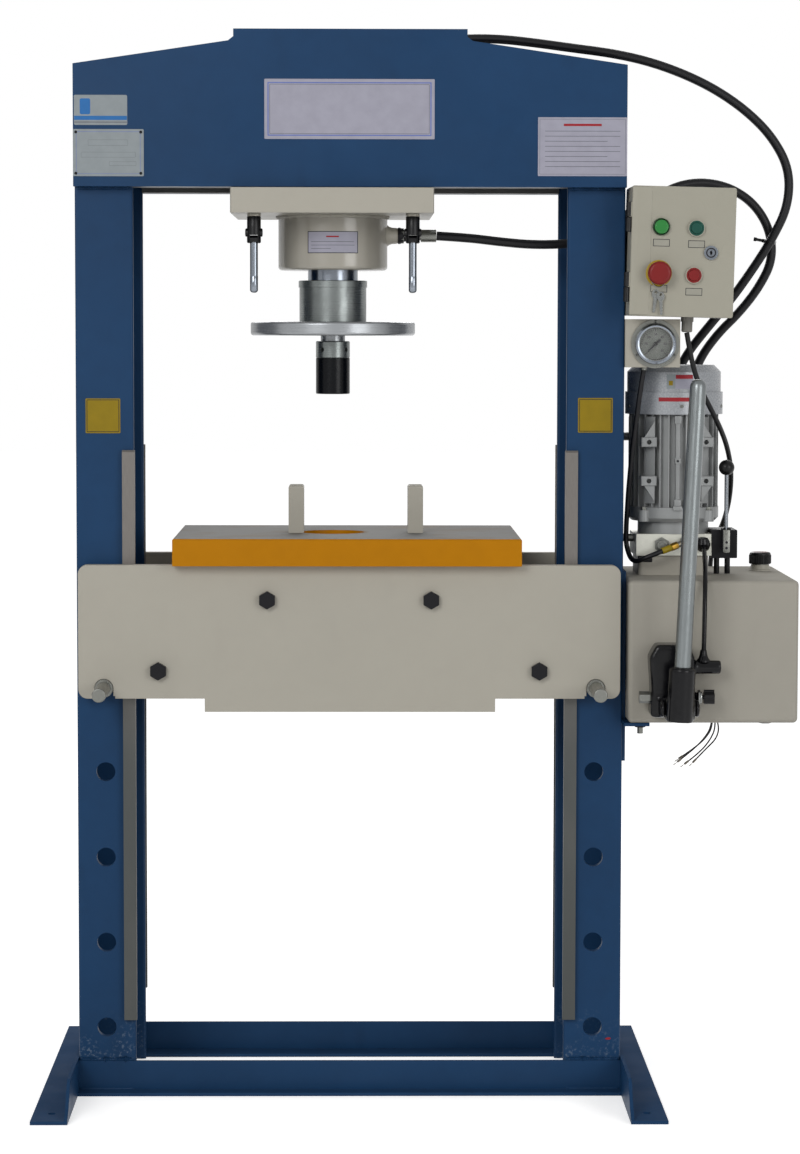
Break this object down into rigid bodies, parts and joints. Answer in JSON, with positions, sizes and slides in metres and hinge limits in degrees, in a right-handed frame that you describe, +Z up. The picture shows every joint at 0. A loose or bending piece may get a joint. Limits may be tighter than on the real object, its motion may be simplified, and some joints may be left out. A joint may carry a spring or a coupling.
{
  "type": "hydraulic press",
  "caption": "Floor-standing two-post hydraulic press with a height-set bed, a screw-nosed ram on a sliding carriage, and a motor-driven power unit.",
  "frame": {"origin": "centre of the four floor anchor holes, at floor level", "axes": "+Z up, the front faces -Y, +X towards the power unit"},
  "size_m": [1.3225, 0.775, 1.851],
  "materials": {
    "frame_blue": "satin",
    "ivory": "satin",
    "orange": "satin",
    "bare_steel": "machined",
    "zinc": "zinc plated",
    "chrome": "polished",
    "black_steel": "black oxide",
    "cast_black": "black enamel",
    "motor_alu": "cast",
    "grey_paint": "satin",
    "black_plastic": "matt",
    "hose": "matt",
    "green_plastic": "gloss",
    "red_plastic": "gloss",
    "lamp_green": "gloss",
    "dial_white": "satin",
    "glass": "clear"
  },
  "bodies": {
    "frame": {"left_upright": "frame_blue", "right_upright": "frame_blue", "crown_plates": "frame_blue", "crown_rails": "bare_steel", "cross_angles": "frame_blue", "feet": "frame_blue", "guide_strips": "bare_steel", "tank_bracket": "frame_blue", "oil_tank": "ivory", "tank_fittings": "zinc", "motor_body": "motor_alu", "fan_cover": "grey_paint", "valve_manifold": "bare_steel", "manifold_fittings": "zinc", "valve_block": "black_steel", "hand_pump": "cast_black", "oil_pipes": "black_steel", "box_body": "ivory", "cable_gland": "black_plastic", "side_brackets": "ivory", "gauge_case": "chrome", "gauge_glass": "glass", "pressure_hose": "hose", "return_hose": "hose", "gauge_hose": "hose", "mains_cable": "hose", "supply_cores": "hose"},
    "bed": {"bed_plates": "ivory", "bed_spacers": "ivory", "bed_bolts": "black_steel", "bolster_plate": "orange", "press_bars": "ivory"},
    "left_support": {"left_pin": "zinc"},
    "right_support": {"right_pin": "zinc"},
    "carriage": {"carriage_plate": "ivory", "cylinder_body": "ivory", "port_fittings": "zinc"},
    "ram": {"piston_rod": "bare_steel"},
    "nose": {"nose_collar": "bare_steel", "nose_tip": "black_steel"},
    "wheel": {"handwheel": "zinc"},
    "left_lock": {"left_lock_hub": "black_steel"},
    "left_lever": {"left_lock_lever": "chrome"},
    "right_lock": {"right_lock_hub": "black_steel"},
    "right_lever": {"right_lock_lever": "chrome"},
    "cap": {"filler_cap": "black_plastic"},
    "rotor": {"cooling_fan": "black_plastic"},
    "valve_handle": {"valve_lever": "zinc"},
    "pump_lever": {"pump_socket": "cast_black", "pump_handle": "zinc"},
    "plunger": {"pump_plunger": "bare_steel"},
    "release": {"release_knob": "black_plastic"},
    "door": {"box_door": "ivory", "pilot_lamp": "lamp_green", "keys": "chrome"},
    "start": {"start_button": "green_plastic"},
    "stop": {"stop_button": "red_plastic"},
    "emergency_stop": {"estop_button": "red_plastic"},
    "door_lock": {"cam_lock": "chrome"},
    "needle": {"gauge_needle": "black_plastic"}
  },
  "joints": [
    {"name": "carriage_slide", "type": "slide", "parent": "frame", "child": "carriage", "axis": [1, 0, 0], "range_m": [-0.165, 0.205], "deforming": ["pressure_hose", "return_hose"]},
    {"name": "ram_slide", "type": "slide", "parent": "carriage", "child": "ram", "axis": [0, 0, -1], "range_m": [0, 0.18]},
    {"name": "nose_feed", "type": "slide", "parent": "ram", "child": "nose", "axis": [0, 0, -1], "range_m": [0, 0.0601]},
    {"name": "handwheel_spin", "type": "hinge", "parent": "nose", "child": "wheel", "pos_m": [-0.031, 0, 1.335], "axis": [0, 0, 1], "range_deg": [0, 2700]},
    {"name": "bed_lift", "type": "slide", "parent": "frame", "child": "bed", "axis": [0, 0, -1], "range_m": [-0.15, 0]},
    {"name": "left_pin_pull", "type": "slide", "parent": "frame", "child": "left_support", "axis": [0, -1, 0], "range_m": [0, 0.36]},
    {"name": "right_pin_pull", "type": "slide", "parent": "frame", "child": "right_support", "axis": [0, -1, 0], "range_m": [0, 0.36]},
    {"name": "left_lock_turn", "type": "hinge", "parent": "carriage", "child": "left_lock", "pos_m": [-0.1655, -0.154, 1.5], "axis": [0, 0, 1], "range_deg": [0, 90]},
    {"name": "left_lever_swing", "type": "hinge", "parent": "left_lock", "child": "left_lever", "pos_m": [-0.1655, -0.154, 1.487], "axis": [-1, 0, 0], "range_deg": [0, 90]},
    {"name": "right_lock_turn", "type": "hinge", "parent": "carriage", "child": "right_lock", "pos_m": [0.1073, -0.154, 1.5], "axis": [0, 0, 1], "range_deg": [0, 90]},
    {"name": "right_lever_swing", "type": "hinge", "parent": "right_lock", "child": "right_lever", "pos_m": [0.1073, -0.154, 1.487], "axis": [-1, 0, 0], "range_deg": [0, 90]},
    {"name": "cap_turn", "type": "hinge", "parent": "frame", "child": "cap", "pos_m": [0.736, 0.06, 0.925], "axis": [0, 0, 1], "range_deg": [0, 120]},
    {"name": "fan_spin", "type": "hinge", "parent": "frame", "child": "rotor", "pos_m": [0.572, -0.01, 1.2], "axis": [0, 0, 1], "continuous": true},
    {"name": "valve_swing", "type": "hinge", "parent": "frame", "child": "valve_handle", "pos_m": [0.66, -0.07, 0.967], "axis": [1, 0, 0], "range_deg": [-15, 15], "stiffness_Nm_per_rad": 1},
    {"name": "pump_swing", "type": "hinge", "parent": "frame", "child": "pump_lever", "pos_m": [0.562, -0.268, 0.69], "axis": [1, 0, 0], "range_deg": [0, 50]},
    {"name": "plunger_lift", "type": "slide", "parent": "frame", "child": "plunger", "axis": [0, 0, 1], "range_m": [0, 0.028]},
    {"name": "release_turn", "type": "hinge", "parent": "frame", "child": "release", "pos_m": [0.616, -0.2245, 0.705], "axis": [1, 0, 0], "range_deg": [0, 360]},
    {"name": "door_swing", "type": "hinge", "parent": "frame", "child": "door", "pos_m": [0.47353, -0.202, 1.46878], "axis": [-0.0244, 0, -0.9997], "range_deg": [0, 110]},
    {"name": "start_press", "type": "slide", "parent": "door", "child": "start", "axis": [0, 1, 0], "range_m": [0, 0.003], "stiffness_N_per_m": 800},
    {"name": "stop_press", "type": "slide", "parent": "door", "child": "stop", "axis": [0, 1, 0], "range_m": [0, 0.003], "stiffness_N_per_m": 800},
    {"name": "estop_press", "type": "slide", "parent": "door", "child": "emergency_stop", "axis": [0, 1, 0], "range_m": [0, 0.003], "stiffness_N_per_m": 1500},
    {"name": "cam_turn", "type": "hinge", "parent": "door", "child": "door_lock", "pos_m": [0.61497, -0.205, 1.46483], "axis": [0, 1, 0], "range_deg": [0, 90]},
    {"name": "needle_swing", "type": "hinge", "parent": "frame", "child": "needle", "pos_m": [0.526, -0.157, 1.3095], "axis": [0, 1, 0], "range_deg": [0, 270], "stiffness_Nm_per_rad": 0.01}
  ],
  "couplings": [
    {"joint": "nose_feed", "follows": "handwheel_spin", "m_per_rad": 0.0012732},
    {"joint": "plunger_lift", "follows": "pump_swing", "m_per_rad": 0.032}
  ]
}
